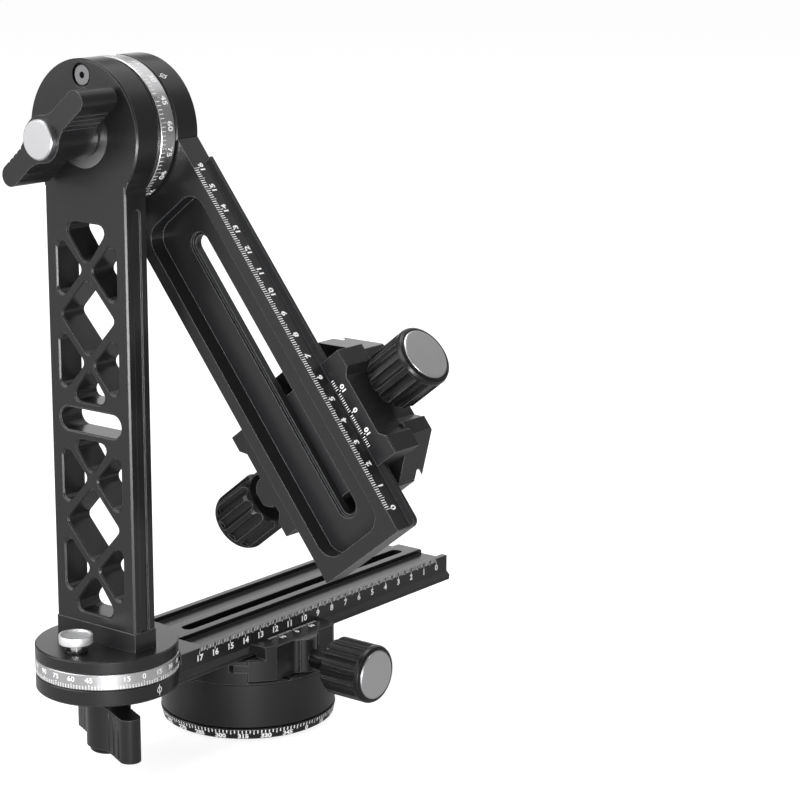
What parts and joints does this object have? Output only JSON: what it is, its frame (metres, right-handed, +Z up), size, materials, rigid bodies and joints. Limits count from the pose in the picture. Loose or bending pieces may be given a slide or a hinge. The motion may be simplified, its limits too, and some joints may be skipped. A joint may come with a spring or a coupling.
{
  "type": "panoramic tripod head",
  "caption": "Two-axis panoramic tripod head: panning base with rail clamp, sliding lower rail, turntable post and tilting upper rail with a double-clamp slider.",
  "frame": {"origin": "centre of the underside of the base plate, at the mouth of the tripod thread", "axes": "+Z up along the pan axis, +X along the lower rail away from the post, +Y to the side away from the base clamp's knob"},
  "size_m": [0.2443, 0.1847, 0.3053],
  "materials": {
    "black_anodised": "satin black anodised",
    "knob_black": "matt black anodised",
    "silver_ring": "clear anodised, turned",
    "silver_cap": "clear anodised, spun face",
    "steel": "turned",
    "dark_steel": "blackened",
    "chrome": "polished",
    "slip_plastic": "plain"
  },
  "bodies": {
    "base": {"base_plate": "black_anodised", "tripod_bush": "steel", "pan_washer": "slip_plastic", "retaining_disc": "steel", "retaining_screw": "dark_steel"},
    "pan": {"drum": "black_anodised", "base_clamp": "black_anodised", "base_clamp_screws": "dark_steel", "base_springs": "steel"},
    "base_jaw_body": {"base_jaw": "black_anodised", "base_guide_pins": "steel"},
    "base_knob_body": {"base_screw": "steel", "base_knob": "knob_black", "base_knob_cap": "silver_cap"},
    "rail": {"lower_rail": "black_anodised", "stop_screws": "dark_steel", "turn_washer": "slip_plastic"},
    "turntable": {"degree_ring": "silver_ring", "turn_disc": "black_anodised", "turn_bolt": "steel", "foot_block": "black_anodised", "foot_screws": "dark_steel", "pin_bush": "chrome", "pin_spring": "steel", "post": "black_anodised", "post_screw": "dark_steel", "head_ring": "silver_ring", "head_washer": "slip_plastic", "wing_washer": "steel"},
    "plunger": {"index_pin": "chrome"},
    "lower_wing_body": {"lower_spacer": "black_anodised", "lower_wing": "knob_black", "lower_wing_cap": "silver_cap"},
    "arm": {"upper_rail": "black_anodised", "head_bolt": "steel"},
    "upper_wing_body": {"upper_wing": "knob_black", "upper_wing_cap": "silver_cap"},
    "slider": {"slider_clamp": "black_anodised", "camera_clamp": "black_anodised", "joining_screws": "dark_steel", "slider_springs": "steel", "camera_springs": "steel"},
    "slider_jaw_body": {"slider_jaw": "black_anodised", "slider_guide_pins": "steel"},
    "slider_knob_body": {"slider_screw": "steel", "slider_knob": "knob_black", "slider_knob_cap": "silver_cap"},
    "camera_jaw_body": {"camera_jaw": "black_anodised", "camera_guide_pins": "steel"},
    "camera_knob_body": {"camera_screw": "steel", "camera_knob": "knob_black", "camera_knob_cap": "silver_cap"}
  },
  "joints": [
    {"name": "pan_turn", "type": "hinge", "parent": "base", "child": "pan", "pos_m": [0, 0, 0], "axis": [0, 0, 1], "continuous": true},
    {"name": "base_jaw_slide", "type": "slide", "parent": "pan", "child": "base_jaw_body", "axis": [0, -1, 0], "range_m": [0, 0.0015]},
    {"name": "base_knob_turn", "type": "hinge", "parent": "base_jaw_body", "child": "base_knob_body", "pos_m": [0, -0.06, 0.0334], "axis": [0, -1, 0], "range_deg": [0, 541]},
    {"name": "lower_rail_slide", "type": "slide", "parent": "pan", "child": "rail", "axis": [1, 0, 0], "range_m": [-0.072, 0.022]},
    {"name": "turntable_turn", "type": "hinge", "parent": "rail", "child": "turntable", "pos_m": [-0.0904, 0, 0], "axis": [0, 0, 1], "continuous": true},
    {"name": "index_plunger_lift", "type": "slide", "parent": "turntable", "child": "plunger", "axis": [0, 0, 1], "range_m": [0, 0.004], "stiffness_N_per_m": 700, "springref_m": -0.004, "deforming": ["pin_spring"]},
    {"name": "lower_wing_turn", "type": "hinge", "parent": "turntable", "child": "lower_wing_body", "pos_m": [-0.0904, 0, 0], "axis": [0, 0, -1], "range_deg": [0, 180]},
    {"name": "arm_tilt", "type": "hinge", "parent": "turntable", "child": "arm", "pos_m": [-0.0904, 0, 0.2748], "axis": [1, 0, 0], "continuous": true},
    {"name": "upper_wing_turn", "type": "hinge", "parent": "arm", "child": "upper_wing_body", "pos_m": [-0.0904, 0, 0.2748], "axis": [-1, 0, 0], "range_deg": [0, 180]},
    {"name": "slider_slide", "type": "slide", "parent": "arm", "child": "slider", "axis": [0, -0.618, -0.7862], "range_m": [-0.075, 0.022]},
    {"name": "slider_jaw_slide", "type": "slide", "parent": "slider", "child": "slider_jaw_body", "axis": [0, 0.7862, -0.618], "range_m": [0, 0.0015]},
    {"name": "slider_knob_turn", "type": "hinge", "parent": "slider_jaw_body", "child": "slider_knob_body", "pos_m": [-0.0557, -0.09721, 0.15113], "axis": [0, 0.7862, -0.618], "range_deg": [0, 541]},
    {"name": "camera_jaw_slide", "type": "slide", "parent": "slider", "child": "camera_jaw_body", "axis": [0, -0.7862, 0.618], "range_m": [0, 0.0015]},
    {"name": "camera_knob_turn", "type": "hinge", "parent": "camera_jaw_body", "child": "camera_knob_body", "pos_m": [-0.0455, -0.09165, 0.15821], "axis": [0, -0.7862, 0.618], "range_deg": [0, 541]}
  ],
  "couplings": [
    {"joint": "base_knob_turn", "follows": "base_jaw_slide", "rad_per_m": 6283.2},
    {"joint": "slider_knob_turn", "follows": "slider_jaw_slide", "rad_per_m": 6283.2},
    {"joint": "camera_knob_turn", "follows": "camera_jaw_slide", "rad_per_m": 6283.2}
  ]
}
